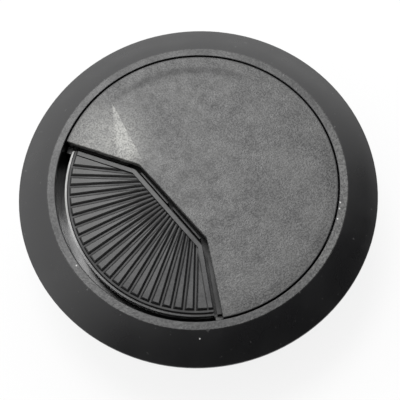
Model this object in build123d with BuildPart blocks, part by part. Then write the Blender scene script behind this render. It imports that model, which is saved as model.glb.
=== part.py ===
from build123d import *
from math import cos, radians, tan
import os

os.makedirs("parts", exist_ok=True)

# Frame: Z is the grommet's axis, Z = 0 the lower end of the barrel, and the cord opening faces -Y.

# Liner: the flanged sleeve that drops into the desk hole
hole_d = 80.0
hole_clearance = 0.25
barrel_length = 20.0
band_length = 6.0
band_step = 1.1
barrel_wall = 1.7
barrel_lead_in = 0.8
flange_overlap = 7.5
flange_edge = 0.8
flange_height = 5.4
bevel_bulge = 0.25
land_width = 2.05
flange_core_inset = 1.5
flange_core_reach = 3.8
flange_core_height = 2.0
seat_depth = 10.0
seat_width = 4.15
seat_thickness = 1.4
grip_rib_count = 18
grip_rib_width = 1.2
grip_rib_relief = 0.05
grip_rib_taper = 2.0

# Cap: the disc with the cord opening, its skirt and its pivot boss
cap_clearance = 0.3
cap_thickness = 1.6
cap_edge_round = 0.25
skirt_wall = 1.3
opening_half_angle = 60.3
opening_edge_inset = 0.44
opening_chord = 8.2
opening_corner_r = 2.0
opening_edge_round = 0.25
skirt_end_reach = 1.75
skirt_end_depth = 4.0
key_width = 4.0
key_height = 5.0
key_clearance = 0.25
boss_r = 5.0
boss_bore_r = 3.4
boss_slot_width = 1.4
boss_slot_height = 5.0
snap_lip = 0.5
snap_height = 1.8
stop_width = 1.4
stop_length = 11.0
stop_skirt_gap = 4.0

# Shutter: the ribbed sector that turns under the cap
turn_clearance = 0.35
skirt_gap = 0.35
rest_turn = 0.9
block_angle_play = 0.9
block_side_gap = 0.86
block_chord_gap = 1.48
border_width = 1.2
border_round = 0.2
rim_lip = 0.6
rim_ledge = 0.75
rim_bevel = 0.25
plate_depth = 5.0
plate_thickness = 1.4
plate_overlap = 2.6
wing_depth = 3.3
wing_start_x = 16.5
wing_slot = 0.75
wing_pad_depth = 2.6
wing_pad_width = 1.4
groove_count = 21
groove_pitch = 4.8
groove_turn = 0.9
groove_width = 1.4
groove_floor_width = 0.42
groove_depth = 0.7
groove_centre_x = -0.73
groove_centre_y = 1.07
border_groove = 0.3
block_corner_r = 2.0
block_outer_corner_r = 0.5
block_roof = 1.2
block_wall = 1.2
hub_wall = 2.0
pivot_clearance = 0.06
bead_width = 0.4
bead_height = 2.3
bead_length = 11.2
bead_gap = 1.7
bead_centre_x = -0.2
bead_inset = 0.85
bead_stagger = -0.2
turn_open = 130.0

# Heights and radii that follow from the sizes above
desk_z = barrel_length
land_z = desk_z + flange_height
seat_z = land_z - seat_depth
band_r = hole_d / 2 - hole_clearance
band_z = desk_z - band_length
barrel_r = band_r - band_step
barrel_inner_r = barrel_r - barrel_wall
flange_r = hole_d / 2 + flange_overlap
land_inner_r = barrel_inner_r
land_outer_r = land_inner_r + land_width
seat_inner_r = land_inner_r - seat_width
cap_r = land_inner_r - cap_clearance
cap_under_z = land_z - cap_thickness
skirt_inner_r = cap_r - skirt_wall
skirt_end_z = land_z - skirt_end_depth
stop_outer_r = skirt_inner_r - stop_skirt_gap
stop_inner_r = stop_outer_r - stop_length
plate_r = skirt_inner_r - skirt_gap
rim_r = plate_r - rim_lip
plate_top_z = land_z - plate_depth
plate_z = plate_top_z - plate_thickness
wing_z = land_z - wing_depth
wing_pad_z = land_z - wing_pad_depth
wing_pad_inner_r = plate_r - wing_pad_width
block_top_z = cap_under_z - turn_clearance
groove_z = block_top_z - groove_depth
hub_bore_r = boss_r + pivot_clearance
hub_r = hub_bore_r + hub_wall
snap_z = plate_z - turn_clearance - snap_height
key_inner_r = skirt_inner_r + key_clearance
groove_slope = (groove_width - groove_floor_width) / 2
rim_ledge_r = rim_r - rim_ledge
opening_reach = cap_r + 4.0


def sector_outline(half_angle, edge_inset, chord):
    """A sector with its tip cut off straight, whose sides run out past the cap's edge."""
    slope = tan(radians(half_angle))
    side_shift = edge_inset / cos(radians(half_angle))
    chord_x = chord * slope - side_shift
    reach_x = opening_reach * slope - side_shift
    with BuildSketch() as outline:
        with BuildLine():
            Polyline(
                (-reach_x, -opening_reach),
                (-chord_x, -chord),
                (chord_x, -chord),
                (reach_x, -opening_reach),
                close=True,
            )
        make_face()
    return outline.sketch


# Outlines seen from above
opening = sector_outline(opening_half_angle, opening_edge_inset, opening_chord)
block_half_angle = opening_half_angle - block_angle_play
block_edge_inset = opening_edge_inset + block_side_gap
block_sector = sector_outline(block_half_angle, block_edge_inset, opening_chord + block_chord_gap)
with BuildSketch() as skirt_opening:
    add(opening)
    offset(amount=-skirt_end_reach, kind=Kind.INTERSECTION)
with BuildSketch() as plate_outline:
    add(opening)
    offset(amount=plate_overlap, kind=Kind.INTERSECTION)
    Circle(plate_r, mode=Mode.INTERSECT)
    Circle(hub_r + plate_overlap)
with BuildSketch() as block_outline:
    add(block_sector)
    Circle(rim_r, mode=Mode.INTERSECT)
    fillet(block_outline.vertices().group_by(Axis.Y)[-1], radius=block_corner_r)
    fillet(block_outline.vertices().sort_by(Axis.X)[0], radius=block_outer_corner_r)
    fillet(block_outline.vertices().sort_by(Axis.X)[-1], radius=block_outer_corner_r)
with BuildSketch() as block_core:
    add(block_sector)
    offset(amount=-block_wall, kind=Kind.INTERSECTION)
    Circle(rim_r - block_wall, mode=Mode.INTERSECT)
with BuildSketch() as ribbed_field:
    add(block_sector)
    offset(amount=-border_width, kind=Kind.INTERSECTION)
with BuildSketch() as side_grooves:
    side_groove_y = block_edge_inset + border_width + border_groove / 2
    with PolarLocations(0, 1, start_angle=-90 - block_half_angle):
        with Locations((opening_reach / 2, side_groove_y)):
            Rectangle(opening_reach, border_groove)
    with PolarLocations(0, 1, start_angle=-90 + block_half_angle):
        with Locations((opening_reach / 2, -side_groove_y)):
            Rectangle(opening_reach, border_groove)
    add(ribbed_field.sketch, mode=Mode.INTERSECT)
with BuildSketch() as block_surround:
    add(block_sector)
    offset(amount=wing_slot, kind=Kind.INTERSECTION)
with BuildSketch() as wings:
    add(opening)
    offset(amount=plate_overlap, kind=Kind.INTERSECTION)
    Circle(plate_r, mode=Mode.INTERSECT)
    Rectangle(2 * wing_start_x, 2 * plate_r, mode=Mode.SUBTRACT)
    add(block_surround.sketch, mode=Mode.SUBTRACT)
with BuildSketch() as wing_pads:
    add(wings.sketch)
    Circle(wing_pad_inner_r, mode=Mode.SUBTRACT)
with BuildSketch() as block_lip:
    add(block_sector)
    Circle(plate_r, mode=Mode.INTERSECT)
    Circle(rim_ledge_r, mode=Mode.SUBTRACT)

# Liner
with BuildPart() as liner:
    with BuildSketch(Plane.XZ) as liner_profile:
        with BuildLine():
            bevel_top = (land_outer_r, land_z)
            bevel_foot = (flange_r, desk_z + flange_edge)
            bevel_middle = (
                (land_outer_r + flange_r) / 2 + bevel_bulge,
                (land_z + desk_z + flange_edge) / 2 + bevel_bulge,
            )
            Line((land_inner_r, land_z), bevel_top)
            ThreePointArc(bevel_top, bevel_middle, bevel_foot)
            Polyline(
                bevel_foot,
                (flange_r, desk_z),
                (band_r, desk_z),
                (band_r, band_z),
                (barrel_r, band_z - band_step),
                (barrel_r, barrel_lead_in),
                (barrel_r - barrel_lead_in, 0),
                (barrel_inner_r, 0),
                (barrel_inner_r, seat_z - seat_thickness),
                (seat_inner_r, seat_z - seat_thickness),
                (seat_inner_r, seat_z),
                (land_inner_r, seat_z),
                (land_inner_r, land_z),
            )
        make_face()
        edge_corners = liner_profile.vertices().group_by(Axis.Y)[-1]
        fillet(edge_corners, radius=0.3)
        rim_corner = liner_profile.vertices().sort_by(Axis.X)[-2:].sort_by(Axis.Y)[-1]
        fillet(rim_corner, radius=0.4)
    revolve(axis=Axis.Z)
    with BuildSketch(Plane.XZ):
        core_inner_r = band_r + flange_core_inset
        with BuildLine():
            Polyline(
                (core_inner_r, desk_z),
                (core_inner_r, desk_z + flange_core_height),
                (core_inner_r + flange_core_reach, desk_z),
                close=True,
            )
        make_face()
    revolve(axis=Axis.Z, mode=Mode.SUBTRACT)
    # Upright ribs that grip the hole below the plain band
    rib_reach = band_step - grip_rib_relief
    with BuildSketch(Plane.YZ) as grip_rib_side:
        with BuildLine():
            Polyline(
                (barrel_r - 0.5, grip_rib_taper),
                (barrel_r, grip_rib_taper),
                (barrel_r + rib_reach, 2 * grip_rib_taper),
                (barrel_r + rib_reach, band_z),
                (barrel_r - 0.5, band_z),
                close=True,
            )
        make_face()
    with BuildPart(mode=Mode.PRIVATE) as grip_rib:
        extrude(grip_rib_side.sketch, amount=grip_rib_width / 2, both=True)
    with PolarLocations(0, grip_rib_count):
        add(grip_rib.part)
    # Keys on the seat ring that stop the cap turning
    with BuildSketch(Plane.XY.offset(seat_z)):
        with PolarLocations((key_inner_r + land_inner_r) / 2, 3, start_angle=0, angular_range=270):
            Rectangle(land_inner_r - key_inner_r + 0.6, key_width)
    extrude(amount=key_height)
liner.part.label = "liner"
export_step(liner.part, "parts/liner.step")

# Cap
with BuildPart() as cap:
    with BuildSketch(Plane.XZ) as cap_profile:
        with BuildLine():
            Polyline(
                (0, land_z),
                (cap_r, land_z),
                (cap_r, seat_z),
                (skirt_inner_r, seat_z),
                (skirt_inner_r, cap_under_z),
                (boss_r, cap_under_z),
                (boss_r, snap_z + snap_height),
                (boss_r + snap_lip, snap_z + snap_height - snap_lip / 2),
                (boss_r - snap_lip / 2, snap_z),
                (boss_bore_r, snap_z),
                (boss_bore_r, cap_under_z),
                (0, cap_under_z),
                close=True,
            )
        make_face()
        top_corner = cap_profile.vertices().sort_by(Axis.X)[-2:].sort_by(Axis.Y)[-1]
        fillet(top_corner, radius=cap_edge_round)
    revolve(axis=Axis.Z)
    # Slots that let the snap head spring inwards
    with BuildSketch(Plane.XY.offset(snap_z)):
        with PolarLocations(0, 2, start_angle=45, angular_range=180):
            Rectangle(2 * (boss_r + snap_lip + 1), boss_slot_width)
    extrude(amount=boss_slot_height, mode=Mode.SUBTRACT)
    # Cord opening, with the skirt's ends reaching a little further round below it
    with BuildSketch(Plane.XY.offset(skirt_end_z)) as cap_opening:
        add(opening)
        fillet(cap_opening.vertices().group_by(Axis.Y)[-1], radius=opening_corner_r)
    extrude(amount=skirt_end_depth, mode=Mode.SUBTRACT)
    cap_top = cap.faces().filter_by(Plane.XY).group_by(Axis.Z)[-1]
    fillet(cap_top.edges().filter_by(GeomType.LINE), radius=opening_edge_round)
    with BuildSketch(Plane.XY.offset(seat_z)):
        add(skirt_opening.sketch)
    extrude(amount=skirt_end_z - seat_z, mode=Mode.SUBTRACT)
    # Notches over the liner's keys
    with BuildSketch(Plane.XY.offset(seat_z)):
        with PolarLocations(cap_r - skirt_wall / 2, 3, start_angle=0, angular_range=270):
            Rectangle(skirt_wall + 1, key_width + 2 * key_clearance)
    extrude(amount=key_height + key_clearance, mode=Mode.SUBTRACT)
    # Stops under the disc for the shutter's two end positions
    stop_offset = plate_overlap - opening_edge_inset + turn_clearance + stop_width / 2
    with BuildSketch(Plane.XY.offset(cap_under_z)):
        with PolarLocations(0, 1, start_angle=-90 - opening_half_angle - rest_turn):
            with Locations(((stop_inner_r + stop_outer_r) / 2, -stop_offset)):
                Rectangle(stop_outer_r - stop_inner_r, stop_width)
        with PolarLocations(0, 1, start_angle=-90 + opening_half_angle + turn_open - rest_turn):
            with Locations(((stop_inner_r + stop_outer_r) / 2, stop_offset)):
                Rectangle(stop_outer_r - stop_inner_r, stop_width)
    extrude(amount=plate_z - cap_under_z)
cap.part.label = "cap"
export_step(cap.part, "parts/cap.step")

# Shutter, square to the cord opening
with BuildPart() as square_shutter:
    with BuildSketch(Plane.XY.offset(plate_z)):
        add(plate_outline.sketch)
    extrude(amount=plate_thickness)
    with BuildSketch(Plane.XY.offset(plate_z)):
        Circle(hub_r)
    extrude(amount=cap_under_z - turn_clearance - plate_z)
    # Block, with a low ledge along its round edge
    with BuildSketch(Plane.XY.offset(plate_z)):
        add(block_outline.sketch)
    extrude(amount=block_top_z - plate_z)
    with BuildSketch(Plane.XZ):
        with BuildLine():
            Polyline(
                (rim_ledge_r - groove_slope, block_top_z),
                (rim_ledge_r, groove_z),
                (rim_r - rim_bevel, groove_z),
                (rim_r, groove_z - rim_bevel),
                (rim_r + 1, groove_z - rim_bevel),
                (rim_r + 1, block_top_z),
                close=True,
            )
        make_face()
    revolve(axis=Axis.Z, mode=Mode.SUBTRACT)
    raised_top = square_shutter.faces().filter_by(Plane.XY).group_by(Axis.Z)[-1].sort_by(SortBy.AREA)[-1]
    fillet(raised_top.edges(), radius=border_round)
    # Raised wings beside the block, a low lip round its edge, and two beads in front of it
    with BuildSketch(Plane.XY.offset(plate_z)):
        add(wings.sketch)
        add(block_lip.sketch)
    extrude(amount=wing_z - plate_z)
    with BuildSketch(Plane.XY.offset(plate_z)):
        add(wing_pads.sketch)
    extrude(amount=wing_pad_z - plate_z)
    with BuildSketch(Plane.XY.offset(plate_top_z)):
        bead_x = (bead_length + bead_gap) / 2
        bead_y = opening_chord + bead_inset
        with Locations((bead_centre_x - bead_x, -bead_y), (bead_centre_x + bead_x, -bead_y - bead_stagger)):
            Rectangle(bead_length, bead_width)
    extrude(amount=bead_height)
    # Hollow under the block, from below
    with BuildSketch(Plane.XY.offset(plate_z)):
        add(block_core.sketch)
    extrude(amount=groove_z - block_roof - plate_z, mode=Mode.SUBTRACT)
    # Straight grooves of one width, which leave wedge shaped ribs inside the plain border
    with BuildSketch(Plane.XY.offset(groove_z)):
        add(side_grooves.sketch)
    extrude(amount=groove_depth, mode=Mode.SUBTRACT)
    with BuildSketch(Plane.YZ) as groove_profile:
        with BuildLine():
            Polyline(
                (-groove_floor_width / 2, groove_z),
                (groove_floor_width / 2, groove_z),
                (groove_width / 2, block_top_z),
                (-groove_width / 2, block_top_z),
                close=True,
            )
        make_face()
    with BuildPart(mode=Mode.PRIVATE) as one_groove:
        extrude(groove_profile.sketch, amount=opening_reach)
    with BuildPart(mode=Mode.PRIVATE) as groove_cut:
        groove_sweep = (groove_count - 1) * groove_pitch
        first_groove = groove_turn - 90 - groove_sweep / 2
        with Locations((groove_centre_x, groove_centre_y)):
            with PolarLocations(0, groove_count, first_groove, groove_sweep, endpoint=True):
                add(one_groove.part)
        extrude(ribbed_field.sketch, amount=block_top_z, mode=Mode.INTERSECT)
    add(groove_cut.part, mode=Mode.SUBTRACT)
    with BuildSketch(Plane.XY.offset(plate_z)):
        Circle(hub_bore_r)
    extrude(amount=block_top_z - plate_z, mode=Mode.SUBTRACT)

# The shutter stands a little way short of square
with BuildPart() as shutter:
    add(square_shutter.part, rotation=(0, 0, -rest_turn))
shutter.part.label = "shutter"
export_step(shutter.part, "parts/shutter.step")
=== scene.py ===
import math
import bpy
from mathutils import Matrix, Vector


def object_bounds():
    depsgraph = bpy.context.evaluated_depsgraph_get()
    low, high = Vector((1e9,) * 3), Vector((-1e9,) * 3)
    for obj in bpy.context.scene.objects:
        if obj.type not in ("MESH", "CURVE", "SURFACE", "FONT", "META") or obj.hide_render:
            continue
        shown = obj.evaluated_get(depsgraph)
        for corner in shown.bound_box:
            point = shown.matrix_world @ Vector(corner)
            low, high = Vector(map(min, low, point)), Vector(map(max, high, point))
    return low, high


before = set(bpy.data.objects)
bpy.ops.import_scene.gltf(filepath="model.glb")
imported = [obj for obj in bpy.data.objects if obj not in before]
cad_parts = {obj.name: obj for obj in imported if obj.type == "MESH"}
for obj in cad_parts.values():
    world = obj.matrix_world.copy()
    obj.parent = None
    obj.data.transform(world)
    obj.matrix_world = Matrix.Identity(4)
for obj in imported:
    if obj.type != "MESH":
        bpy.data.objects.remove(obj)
cad_low, cad_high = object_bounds()

MM = 0.001

# Heights and radii of the part that the finishes need
LAND_Z = cad_high[2]
LAND_INNER_R = 36.95 * MM
LAND_OUTER_R = 39.0 * MM
CAP_R = 36.65 * MM
RIB_TOP_Z = LAND_Z - 1.95 * MM
GROOVE_DEPTH = 0.7 * MM
LIP_Z = LAND_Z - 3.3 * MM
LIP_INNER_R = 34.4 * MM

# Camera, fitted to the photograph: the view is tilted down onto the flange, with a small roll
CAMERA_ELEVATION = math.radians(69.89)
CAMERA_AZIMUTH = math.radians(54.1)
CAMERA_ROLL = math.radians(-5.155)
CAMERA_DISTANCE = 230 * MM
CAMERA_TARGET = Vector((2.94, -1.63, 20.18)) * MM
CAMERA_LENS_MM = 78.36
CAMERA_CLIP_START = 10 * MM
SENSOR_MM = 36.0

# Surround: brightest towards its azimuth; its limits are cosines and sines of directions
SURROUND_AZIMUTH = 175
SURROUND_DIM = 0.04
SURROUND_BRIGHT = 1.75
SURROUND_FADE = (-0.42, 0.42)
BACKDROP_FADE = (0.22, 0.08)
WHITE = (1, 1, 1, 1)

# Lamp, in degrees, metres and watts
KEY_AZIMUTH = 160
KEY_ELEVATION = 64
KEY_DISTANCE = 0.7
KEY_WIDTH = 0.3
KEY_HEIGHT = 0.22
KEY_POWER = 2.6

# Floor: a hair below the barrel's end, with a share of plain white for the rays that see it
FLOOR_HALF_WIDTH = 1.5
FLOOR_DROP = 0.05 * MM
FLOOR_COLOR = (0.8, 0.8, 0.8, 1)
FLOOR_ROUGHNESS = 0.9
FLOOR_WHITE_SHARE = 0.85

# Colours, in linear light
BLACK = (0.008, 0.008, 0.0086)
GRAINED_BLACK = (0.066, 0.066, 0.065)
# Painted shade in the grooves and on the lower faces
GROOVE_SHADE_BLACK = (0.003, 0.003, 0.0032)
RIB_BLACK = (0.03, 0.03, 0.031)
# Haze for random tone, and sheen for painted light
HAZE_AND_SHEEN = (0.16, 0.16, 0.155)
# Pale colour for wear and for painted highlights
PALE_WEAR_AND_HIGHLIGHT = (0.36, 0.36, 0.34)
DUST = (0.5, 0.5, 0.49)

# Where each zone starts and is full: heights and distances from the axis
LAND_RADIUS_FADE = (LAND_OUTER_R + 0.35 * MM, LAND_OUTER_R - 0.1 * MM)
LAND_HEIGHT_FADE = (LAND_Z - 0.25 * MM, LAND_Z - 0.05 * MM)
# Painted shade on the land next to the gap beside the cap
LAND_EDGE_SHADE_FADE = (LAND_INNER_R + 0.5 * MM, LAND_INNER_R)
WALL_RADIUS_FADE = (LAND_INNER_R + 0.25 * MM, LAND_INNER_R + 0.05 * MM)
WALL_HEIGHT_FADE = (LAND_Z - 0.1 * MM, LAND_Z - 0.4 * MM)
CAP_TOP_FADE = (LAND_Z - 0.4 * MM, LAND_Z - 0.1 * MM)
# Painted shade on the cap next to the gap beside the land
CAP_EDGE_SHADE_FADE = (CAP_R - 0.7 * MM, CAP_R - 0.1 * MM)
CAP_FALL_FADE = (33.4 * MM, CAP_R)
RIB_HEIGHT_FADE = (RIB_TOP_Z - GROOVE_DEPTH, RIB_TOP_Z - 0.1 * GROOVE_DEPTH)
LIP_RADIUS_FADE = (LIP_INNER_R, LIP_INNER_R + 0.1 * MM)
LIP_HEIGHT_FADE = (LIP_Z + 0.3 * MM, LIP_Z + 0.1 * MM)

# Noise of every grain, and the span that most noise values lie in
GRAIN_DETAIL = 3.0
GRAIN_ROUGHNESS = 0.65
NOISE_SPAN = (0.3, 0.7)

# Liner's finish
LINER_GRAIN = 0.6 * MM
LINER_CLOUD = 9 * MM
LINER_ROUGHNESS = (0.27, 0.36)
LINER_RELIEF = 0.1 * MM
LINER_RELIEF_STRENGTH = 0.8
LAND_GRAIN_SPAN = (0.36, 0.64)
LAND_GRAIN_SHARE = (0.0, 0.62)
LAND_ADDED_ROUGHNESS = 0.1
WALL_ADDED_GLOSS = 0.1
WALL_RELIEF_SHARE = 0.1
BEVEL_RELIEF_SHARE = 0.12
DUST_SPACING = 1.6 * MM
DUST_ROUGHNESS = 0.6
DUST_CUT = 0.68
DUST_EDGE = 0.06
DUST_SHARE = 0.12

# Cap's finish
CAP_GRAIN = 0.44 * MM
CAP_CLOUD = 8 * MM
CAP_BLOTCH = 2.2 * MM
CAP_GRAIN_SPAN = (0.4, 0.6)
CAP_HAZE_SHARE = (0.0, 0.2)
CAP_ROUGHNESS = (0.35, 0.47)
CAP_RELIEF = 0.1 * MM
CAP_RELIEF_STRENGTH = 0.9
CAP_SIDE_RELIEF_SHARE = 0.25
CAP_FALL = 1.3

# Shutter's finish
SHUTTER_GRAIN = 0.5 * MM
SHUTTER_GRAIN_ROUGHNESS = 0.6
SHUTTER_CLOUD = 5 * MM
SHUTTER_ROUGHNESS = (0.46, 0.56)
SHUTTER_RELIEF = 0.03 * MM
SHUTTER_RELIEF_STRENGTH = 0.4
LIP_ADDED_GLOSS = 0.28

# Marks of use, a paler patch, painted highlights and painted shade, placed from the photograph
SCUFF_APEX = Vector((-32.3, -2.4, 0)) * MM
SCUFF_HEADING = math.radians(-22.8)
SCUFF_HALF_ANGLE = math.radians(9.2)
SCUFF_START = 0.5 * MM
SCUFF_LENGTH = 21 * MM
SCUFF_FULL_LENGTH = 0.6 * SCUFF_LENGTH
SCUFF_FAR_EDGE = (1.05, 0.95)
SCUFF_NEAR_EDGE = (-1.6, -0.6)
SCUFF_BLOTCH_SPAN = (0.3, 0.6)
SCUFF_SHARE = (0.42, 0.68)
# Painted highlight on the cap: its centre and radii
HIGHLIGHT_CENTRE = Vector((-24.5, -10.5, 25.4)) * MM
HIGHLIGHT_R = 15 * MM
HIGHLIGHT_CORE_R = 0.15 * HIGHLIGHT_R
HIGHLIGHT_SHARE = (0.35, 0.75)
WEAR_AND_HIGHLIGHT_GRAIN_SPAN = (0.35, 0.65)
WEAR_AND_HIGHLIGHT_GRAIN_SHARE = (0.35, 1.0)
# A paler patch on the land, on its +X, +Y side
LAND_PALE_CENTRE = Vector((29.5, 23.5, 25.4)) * MM
LAND_PALE_R = 32 * MM
LAND_PALE_CORE_R = 0.3 * LAND_PALE_R
LAND_PALE_SHARE = 0.5
LAND_PALE_GRAIN_SHARE = (0.2, 1.0)
# Ribs paler towards -X, the lamp's side: painted light
RIB_LIT_SIDE_FADE_X = (16 * MM, -12 * MM)
RIB_PALE_SHARE = (0.2, 0.4)
# Painted highlight on the lip's end, towards -X
LIP_HIGHLIGHT_FADE_X = (-4 * MM, -27 * MM)
LIP_HIGHLIGHT_SHARE = (0.0, 0.55)
# Sink mark: painted shade along its band, and added roughness
SINK_R = 32.6 * MM
SINK_WIDTH = 1.8 * MM
SINK_FADE_X = (-8 * MM, -22 * MM)
SINK_FADE_Y = (-5 * MM, 4 * MM)
SINK_SHADE_SHARE = 0.45
SINK_ADDED_ROUGHNESS = 0.1
SPECKS = [
    Vector((-2.8, -37.6, 25.4)) * MM,
    Vector((28.75, 23.8, 25.4)) * MM,
    Vector((29.8, 22.5, 25.4)) * MM,
    Vector((31.5, 20.2, 25.4)) * MM,
    Vector((8.0, 44.0, 23.0)) * MM,
    Vector((20.6, 38.8, 23.4)) * MM,
    Vector((31.6, -26.2, 24.6)) * MM,
]
SPECK_R = 0.28 * MM
SPECK_CORE_R = 0.4 * SPECK_R


def node(tree, kind, inputs=None, **settings):
    """Adds a shader node; each input gets a value, or a link from another node's output."""
    made = tree.nodes.new(kind)
    for name, value in settings.items():
        setattr(made, name, value)
    for key, value in (inputs or {}).items():
        if isinstance(value, bpy.types.NodeSocket):
            tree.links.new(value, made.inputs[key])
        else:
            made.inputs[key].default_value = value
    return made


def calculate(tree, operation, *values):
    """The result of a Math node."""
    return node(tree, "ShaderNodeMath", dict(enumerate(values)), operation=operation).outputs[0]


def multiply(tree, first, *others):
    """The product of all the values."""
    for other in others:
        first = calculate(tree, "MULTIPLY", first, other)
    return first


def fade(tree, value, start, end, low=0.0, high=1.0):
    """Goes smoothly from low to high as the value goes from start to end."""
    inputs = {"Value": value, "From Min": start, "From Max": end, "To Min": low, "To Max": high}
    return node(tree, "ShaderNodeMapRange", inputs, interpolation_type="SMOOTHSTEP").outputs[0]


def noise(tree, place, size, detail=2.0, roughness=0.5):
    """Noise whose grains are about this many metres across."""
    inputs = {"Vector": place, "Scale": 1 / size, "Detail": detail, "Roughness": roughness}
    return node(tree, "ShaderNodeTexNoise", inputs).outputs["Fac"]


def blend(tree, factor, first, second):
    """A colour between two, each given as an RGB value or a socket."""
    # The Mix node's colours are its inputs 6 and 7 and its output 2
    mixed = node(tree, "ShaderNodeMix", {"Factor": factor}, data_type="RGBA")
    for index, color in ((6, first), (7, second)):
        if isinstance(color, bpy.types.NodeSocket):
            tree.links.new(color, mixed.inputs[index])
        else:
            mixed.inputs[index].default_value = (*color, 1)
    return mixed.outputs[2]


def start_plastic(name):
    """A new material, its node tree, its Principled node, and places in the object's own frame."""
    material = bpy.data.materials.new(name)
    material.use_nodes = True
    tree = material.node_tree
    place = node(tree, "ShaderNodeTexCoord").outputs["Object"]
    return material, tree, tree.nodes["Principled BSDF"], place


def split(tree, place):
    """Height above the origin, and distance from the grommet's axis."""
    parts = node(tree, "ShaderNodeSeparateXYZ", {0: place}).outputs
    flat = node(tree, "ShaderNodeCombineXYZ", {0: parts[0], 1: parts[1]}).outputs[0]
    radius = node(tree, "ShaderNodeVectorMath", {0: flat}, operation="LENGTH").outputs["Value"]
    return parts[2], radius


def gap(tree, place, point):
    """Distance from a point in the object's own frame."""
    between = node(tree, "ShaderNodeVectorMath", {0: place, 1: point}, operation="DISTANCE")
    return between.outputs["Value"]


def speck_mask(tree, place, points):
    """One at each point, and nothing beyond a speck's radius."""
    total = 0.0
    for point in points:
        near = fade(tree, gap(tree, place, point), SPECK_R, SPECK_CORE_R)
        total = calculate(tree, "ADD", total, near)
    return calculate(tree, "MINIMUM", total, 1.0)


def dust_mask(tree, place):
    """Sparse fine dust, where the noise passes the cut."""
    spread = noise(tree, place, DUST_SPACING, GRAIN_DETAIL, DUST_ROUGHNESS)
    return fade(tree, spread, DUST_CUT, DUST_CUT + DUST_EDGE)


def wedge_mask(tree, place):
    """The scuff: a wedge that opens from its apex, sharp on its far side, and fades out."""
    mapping = {"Vector": place, "Location": SCUFF_APEX, "Rotation": (0, 0, SCUFF_HEADING)}
    turned = node(tree, "ShaderNodeMapping", mapping, vector_type="TEXTURE").outputs[0]
    parts = node(tree, "ShaderNodeSeparateXYZ", {0: turned}).outputs
    slope = calculate(tree, "DIVIDE", parts[1], parts[0])
    edge = math.tan(SCUFF_HALF_ANGLE)
    far_side = fade(tree, slope, *(edge * share for share in SCUFF_FAR_EDGE))
    near_side = fade(tree, slope, *(edge * share for share in SCUFF_NEAR_EDGE))
    ahead = fade(tree, parts[0], 0, SCUFF_START)
    ending = fade(tree, parts[0], SCUFF_LENGTH, SCUFF_FULL_LENGTH)
    return multiply(tree, far_side, near_side, ahead, ending)


def add_relief(tree, shader, height, depth, strength):
    """Bumps the surface by the height socket."""
    inputs = {"Height": height, "Distance": depth, "Strength": strength}
    bump = node(tree, "ShaderNodeBump", inputs)
    tree.links.new(bump.outputs[0], shader.inputs["Normal"])


def make_liner_plastic():
    """Black plastic: a grained land, a satin bevel and smooth inner walls."""
    material, tree, shader, place = start_plastic("liner_plastic")
    height, radius = split(tree, place)
    grain = noise(tree, place, LINER_GRAIN, GRAIN_DETAIL, GRAIN_ROUGHNESS)
    cloud = noise(tree, place, LINER_CLOUD)
    land_top = fade(tree, height, *LAND_HEIGHT_FADE)
    on_land = multiply(tree, fade(tree, radius, *LAND_RADIUS_FADE), land_top)
    below_land = fade(tree, height, *WALL_HEIGHT_FADE)
    inside = multiply(tree, fade(tree, radius, *WALL_RADIUS_FADE), below_land)
    dust = multiply(tree, dust_mask(tree, place), fade(tree, inside, 1, 0, 0.0, DUST_SHARE))
    land_grain = fade(tree, grain, *LAND_GRAIN_SPAN, *LAND_GRAIN_SHARE)
    land_color = blend(tree, land_grain, BLACK, GRAINED_BLACK)
    # The land is paler round a centre on its +X, +Y side, following the grain
    from_rub = gap(tree, place, LAND_PALE_CENTRE)
    pale_patch = multiply(tree, fade(tree, from_rub, LAND_PALE_R, LAND_PALE_CORE_R), LAND_PALE_SHARE)
    pale_patch = multiply(tree, pale_patch, fade(tree, grain, *LAND_GRAIN_SPAN, *LAND_PALE_GRAIN_SHARE))
    land_color = blend(tree, pale_patch, land_color, HAZE_AND_SHEEN)
    # Painted shade: the land darkens to black towards its inner edge, at the gap beside the cap
    land_color = blend(tree, fade(tree, radius, *LAND_EDGE_SHADE_FADE), land_color, BLACK)
    color = blend(tree, on_land, BLACK, land_color)
    color = blend(tree, dust, color, DUST)
    color = blend(tree, speck_mask(tree, place, SPECKS), color, DUST)
    tree.links.new(color, shader.inputs["Base Color"])
    roughness = fade(tree, cloud, *NOISE_SPAN, *LINER_ROUGHNESS)
    roughness = calculate(tree, "ADD", roughness, multiply(tree, on_land, LAND_ADDED_ROUGHNESS))
    roughness = calculate(tree, "SUBTRACT", roughness, multiply(tree, inside, WALL_ADDED_GLOSS))
    tree.links.new(roughness, shader.inputs["Roughness"])
    relief = multiply(tree, grain, fade(tree, on_land, 0, 1, BEVEL_RELIEF_SHARE, 1.0))
    relief = multiply(tree, relief, fade(tree, inside, 1, 0, WALL_RELIEF_SHARE, 1.0))
    add_relief(tree, shader, relief, LINER_RELIEF, LINER_RELIEF_STRENGTH)
    return material


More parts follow.
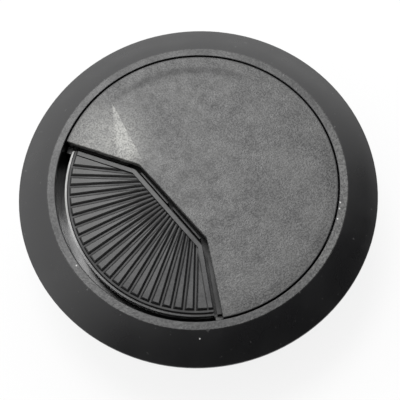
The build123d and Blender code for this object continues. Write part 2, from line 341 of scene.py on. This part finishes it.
def make_cap_plastic():
    """Black plastic with a fine grain, a scuff, a painted highlight zone, and painted shade on a
    faint sink mark and at the rim.
    """
    material, tree, shader, place = start_plastic("cap_plastic")
    height, radius = split(tree, place)
    grain = noise(tree, place, CAP_GRAIN, GRAIN_DETAIL, GRAIN_ROUGHNESS)
    cloud = noise(tree, place, CAP_CLOUD, GRAIN_DETAIL)
    blotch = noise(tree, place, CAP_BLOTCH, GRAIN_DETAIL)
    color = blend(tree, fade(tree, grain, *CAP_GRAIN_SPAN), BLACK, GRAINED_BLACK)
    color = blend(tree, fade(tree, cloud, *NOISE_SPAN, *CAP_HAZE_SHARE), color, HAZE_AND_SHEEN)
    # Painted highlight: a pale zone round its centre, in patches, stands in for the lamp's sheen
    # on the cap
    pale_patch = fade(tree, gap(tree, place, HIGHLIGHT_CENTRE), HIGHLIGHT_R, HIGHLIGHT_CORE_R)
    pale_patch = multiply(tree, pale_patch, fade(tree, blotch, *NOISE_SPAN, *HIGHLIGHT_SHARE))
    scuff = fade(tree, blotch, *SCUFF_BLOTCH_SPAN, *SCUFF_SHARE)
    scuff = multiply(tree, wedge_mask(tree, place), scuff)
    wear_and_highlight_grain = fade(tree, grain, *WEAR_AND_HIGHLIGHT_GRAIN_SPAN, *WEAR_AND_HIGHLIGHT_GRAIN_SHARE)
    # The scuff is wear and the zone above is a painted highlight; both are paler in the grain
    pale = multiply(tree, calculate(tree, "ADD", pale_patch, scuff), wear_and_highlight_grain)
    color = blend(tree, pale, color, PALE_WEAR_AND_HIGHLIGHT)
    band = calculate(tree, "ABSOLUTE", calculate(tree, "SUBTRACT", radius, SINK_R))
    parts = node(tree, "ShaderNodeSeparateXYZ", {0: place}).outputs
    ends = multiply(tree, fade(tree, parts[0], *SINK_FADE_X), fade(tree, parts[1], *SINK_FADE_Y))
    sink = multiply(tree, fade(tree, band, SINK_WIDTH, 0), ends)
    # Painted shade: the sink mark's band is darkened towards black
    color = blend(tree, multiply(tree, sink, SINK_SHADE_SHARE), color, BLACK)
    # Painted shade: the cap darkens to black towards its rim, at the gap beside the land
    color = blend(tree, fade(tree, radius, *CAP_EDGE_SHADE_FADE), color, BLACK)
    tree.links.new(color, shader.inputs["Base Color"])
    roughness = fade(tree, blotch, *NOISE_SPAN, *CAP_ROUGHNESS)
    roughness = calculate(tree, "ADD", roughness, multiply(tree, sink, SINK_ADDED_ROUGHNESS))
    tree.links.new(roughness, shader.inputs["Roughness"])
    on_top = fade(tree, height, *CAP_TOP_FADE, CAP_SIDE_RELIEF_SHARE, 1.0)
    edge_fall = fade(tree, radius, *CAP_FALL_FADE, 0.0, CAP_FALL)
    relief = calculate(tree, "SUBTRACT", multiply(tree, grain, on_top), edge_fall)
    add_relief(tree, shader, relief, CAP_RELIEF, CAP_RELIEF_STRENGTH)
    return material


def make_shutter_plastic():
    """Black satin plastic: painted shade in the grooves, ribs and border paler in patches and, as
    painted light, towards -X, and a painted highlight on the lip's end.
    """
    material, tree, shader, place = start_plastic("shutter_plastic")
    height, radius = split(tree, place)
    grain = noise(tree, place, SHUTTER_GRAIN, roughness=SHUTTER_GRAIN_ROUGHNESS)
    cloud = noise(tree, place, SHUTTER_CLOUD)
    raised = fade(tree, height, *RIB_HEIGHT_FADE)
    color = blend(tree, fade(tree, grain, *NOISE_SPAN), BLACK, RIB_BLACK)
    # Painted shade: the grooves and all lower faces get a darker black than the raised ribs and
    # border
    color = blend(tree, raised, GROOVE_SHADE_BLACK, color)
    # Ribs and border paler in random patches, and as painted light paler towards -X, the lamp's
    # side
    rib_haze_and_light = multiply(tree, raised, fade(tree, cloud, *NOISE_SPAN, *RIB_PALE_SHARE))
    across = node(tree, "ShaderNodeSeparateXYZ", {0: place}).outputs[0]
    rib_haze_and_light = multiply(tree, rib_haze_and_light, fade(tree, across, *RIB_LIT_SIDE_FADE_X))
    color = blend(tree, rib_haze_and_light, color, HAZE_AND_SHEEN)
    low_down = fade(tree, height, *LIP_HEIGHT_FADE)
    on_lip = multiply(tree, fade(tree, radius, *LIP_RADIUS_FADE), low_down)
    # Painted highlight: the lip's end is paler towards -X
    lip_highlight = fade(tree, across, *LIP_HIGHLIGHT_FADE_X, *LIP_HIGHLIGHT_SHARE)
    color = blend(tree, multiply(tree, on_lip, lip_highlight), color, PALE_WEAR_AND_HIGHLIGHT)
    tree.links.new(color, shader.inputs["Base Color"])
    roughness = fade(tree, cloud, *NOISE_SPAN, *SHUTTER_ROUGHNESS)
    roughness = calculate(tree, "SUBTRACT", roughness, multiply(tree, on_lip, LIP_ADDED_GLOSS))
    tree.links.new(roughness, shader.inputs["Roughness"])
    add_relief(tree, shader, grain, SHUTTER_RELIEF, SHUTTER_RELIEF_STRENGTH)
    return material


def dress(node_name, material):
    """Gives a CAD node's object this material in every slot."""
    for material_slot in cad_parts[node_name].material_slots:
        material_slot.material = material


def seen_ray(tree):
    """One for rays that see the floor from the camera, in a mirror or through glass."""
    path = node(tree, "ShaderNodeLightPath").outputs
    straight = calculate(tree, "MAXIMUM", path["Is Camera Ray"], path["Is Transmission Ray"])
    return calculate(tree, "MAXIMUM", straight, path["Is Glossy Ray"])


def make_floor(half_width):
    """A pale paper floor that keeps a soft shadow and looks white to the camera."""
    level = cad_low[2] - FLOOR_DROP
    corners = [(-half_width, -half_width, level), (half_width, -half_width, level)]
    corners += [(half_width, half_width, level), (-half_width, half_width, level)]
    mesh = bpy.data.meshes.new("floor")
    mesh.from_pydata(corners, [], [(0, 1, 2, 3)])
    floor = bpy.data.objects.new("floor", mesh)
    bpy.context.scene.collection.objects.link(floor)
    material = bpy.data.materials.new("floor_paper")
    material.use_nodes = True
    tree = material.node_tree
    paper = tree.nodes["Principled BSDF"]
    paper.inputs["Base Color"].default_value = FLOOR_COLOR
    paper.inputs["Roughness"].default_value = FLOOR_ROUGHNESS
    glow = node(tree, "ShaderNodeEmission", {"Strength": 1.0}).outputs[0]
    share = multiply(tree, seen_ray(tree), FLOOR_WHITE_SHARE)
    mixed = node(tree, "ShaderNodeMixShader", {0: share, 1: paper.outputs[0], 2: glow}).outputs[0]
    tree.links.new(mixed, tree.nodes["Material Output"].inputs["Surface"])
    mesh.materials.append(material)


def make_softbox(name, azimuth, elevation, distance, width, height, power):
    """A rectangular lamp that looks at the cap; azimuth 0 is +X, and angles are in degrees."""
    lamp = bpy.data.lights.new(name, "AREA")
    lamp.shape = "RECTANGLE"
    lamp.size = width
    lamp.size_y = height
    lamp.energy = power
    holder = bpy.data.objects.new(name, lamp)
    bpy.context.scene.collection.objects.link(holder)
    turn = math.radians(azimuth)
    rise = math.radians(elevation)
    flat = math.cos(rise)
    direction = Vector((math.cos(turn) * flat, math.sin(turn) * flat, math.sin(rise)))
    holder.location = direction * distance + Vector((0, 0, LAND_Z))
    holder.rotation_euler = direction.to_track_quat("Z", "Y").to_euler()


def make_world(azimuth, dim, bright):
    """A soft surround, bright towards the azimuth and dim on the other side.

    The backdrop that the camera sees is white. Mirrors see it white too, low round the horizon.
    """
    world = bpy.data.worlds.new("studio")
    bpy.context.scene.world = world
    world.use_nodes = True
    tree = world.node_tree
    background = tree.nodes["Background"]
    turn = math.radians(azimuth)
    heading = Vector((math.cos(turn), math.sin(turn), 0))
    look = node(tree, "ShaderNodeTexCoord").outputs["Generated"]
    towards = node(tree, "ShaderNodeVectorMath", {0: look, 1: heading}, operation="DOT_PRODUCT")
    strength = fade(tree, towards.outputs["Value"], *SURROUND_FADE, dim, bright)
    path = node(tree, "ShaderNodeLightPath").outputs
    look_up = node(tree, "ShaderNodeSeparateXYZ", {0: look}).outputs[2]
    backdrop = multiply(tree, path["Is Glossy Ray"], fade(tree, look_up, *BACKDROP_FADE))
    strength = calculate(tree, "MAXIMUM", strength, backdrop)
    seen = calculate(tree, "MAXIMUM", path["Is Camera Ray"], path["Is Transmission Ray"])
    # The Mix node's plain numbers are its inputs 2 and 3
    mixed = node(tree, "ShaderNodeMix", {0: seen, 2: strength, 3: 1.0}, data_type="FLOAT")
    background.inputs["Color"].default_value = WHITE
    tree.links.new(mixed.outputs[0], background.inputs["Strength"])


def make_camera():
    """The camera of the photograph."""
    flat = math.cos(CAMERA_ELEVATION)
    back = Vector((
        math.sin(CAMERA_AZIMUTH) * flat,
        -math.cos(CAMERA_AZIMUTH) * flat,
        math.sin(CAMERA_ELEVATION),
    ))
    level = Vector((math.cos(CAMERA_AZIMUTH), math.sin(CAMERA_AZIMUTH), 0))
    right = level * math.cos(CAMERA_ROLL) + back.cross(level) * math.sin(CAMERA_ROLL)
    axes = Matrix((right, back.cross(right), back)).transposed().to_4x4()
    data = bpy.data.cameras.new("camera")
    data.sensor_width = SENSOR_MM
    data.lens = CAMERA_LENS_MM
    data.clip_start = CAMERA_CLIP_START
    camera = bpy.data.objects.new("camera", data)
    bpy.context.scene.collection.objects.link(camera)
    camera.matrix_world = Matrix.Translation(CAMERA_TARGET + back * CAMERA_DISTANCE) @ axes
    bpy.context.scene.camera = camera


dress("liner", make_liner_plastic())
dress("cap", make_cap_plastic())
dress("shutter", make_shutter_plastic())
make_floor(FLOOR_HALF_WIDTH)
make_world(SURROUND_AZIMUTH, SURROUND_DIM, SURROUND_BRIGHT)
make_softbox("key", KEY_AZIMUTH, KEY_ELEVATION, KEY_DISTANCE, KEY_WIDTH, KEY_HEIGHT, KEY_POWER)
make_camera()
bpy.context.scene.view_settings.view_transform = "Standard"
